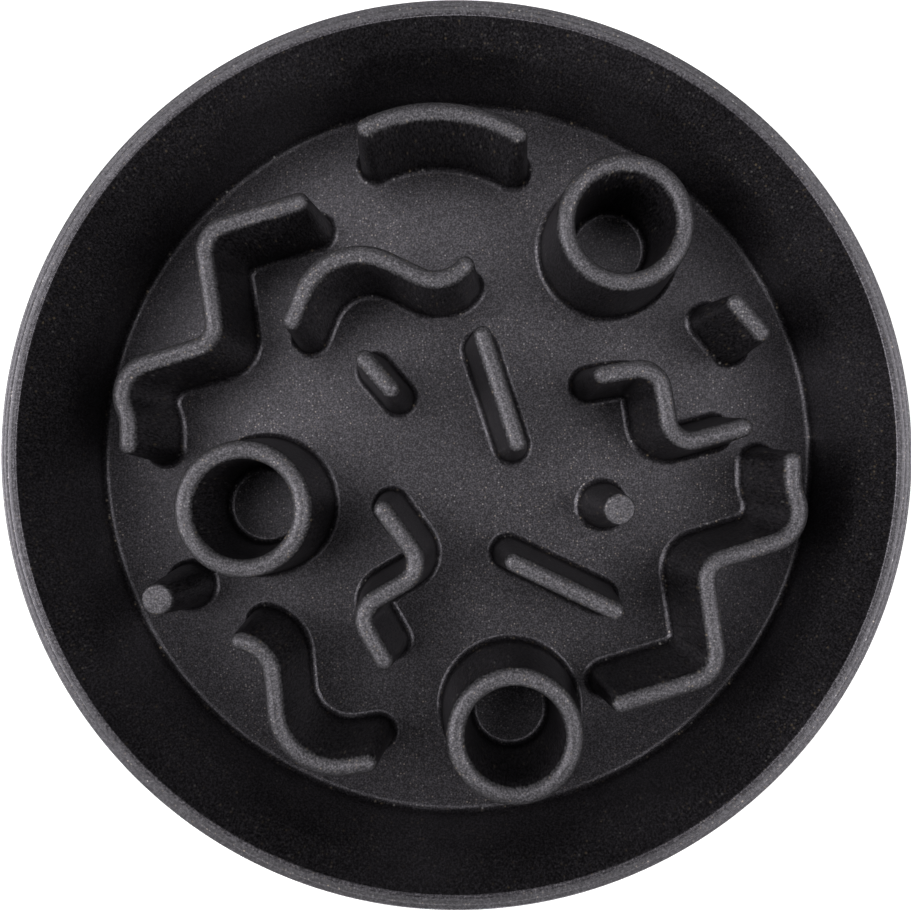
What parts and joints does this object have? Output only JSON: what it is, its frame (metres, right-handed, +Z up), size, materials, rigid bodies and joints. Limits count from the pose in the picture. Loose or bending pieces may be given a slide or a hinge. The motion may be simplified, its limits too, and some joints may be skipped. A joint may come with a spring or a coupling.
{
  "type": "slow feeder bowl",
  "caption": "Round straight-sided pet bowl with a floor maze of ridges, cups and pegs that slows eating, on rubber feet.",
  "frame": {"origin": "middle of the bowl, on the surface that its feet stand on", "axes": "+Z up out of the bowl's mouth; +Y towards the single arc ridge at the back; +X to its right"},
  "size_m": [0.2106, 0.2106, 0.06],
  "materials": {
    "bowl_composite": "charcoal fibre-filled plastic, fine matte grain with pale flecks",
    "foot_rubber": "soft black rubber"
  },
  "bodies": {
    "root": {"bowl_shell": "bowl_composite", "cup_back": "bowl_composite", "cup_left": "bowl_composite", "cup_front": "bowl_composite", "peg_left": "bowl_composite", "peg_right": "bowl_composite", "zigzag_left": "bowl_composite", "zigzag_right": "bowl_composite", "small_zigzag_left": "bowl_composite", "small_zigzag_right": "bowl_composite", "wave_back": "bowl_composite", "wave_front": "bowl_composite", "arc_ridge": "bowl_composite", "long_bar_middle": "bowl_composite", "long_bar_front": "bowl_composite", "short_bar_left": "bowl_composite", "short_bar_right": "bowl_composite", "foot_pad_1": "foot_rubber", "foot_pad_2": "foot_rubber", "foot_pad_3": "foot_rubber", "foot_pad_4": "foot_rubber", "foot_pad_5": "foot_rubber", "foot_pad_6": "foot_rubber"}
  },
  "joints": []
}
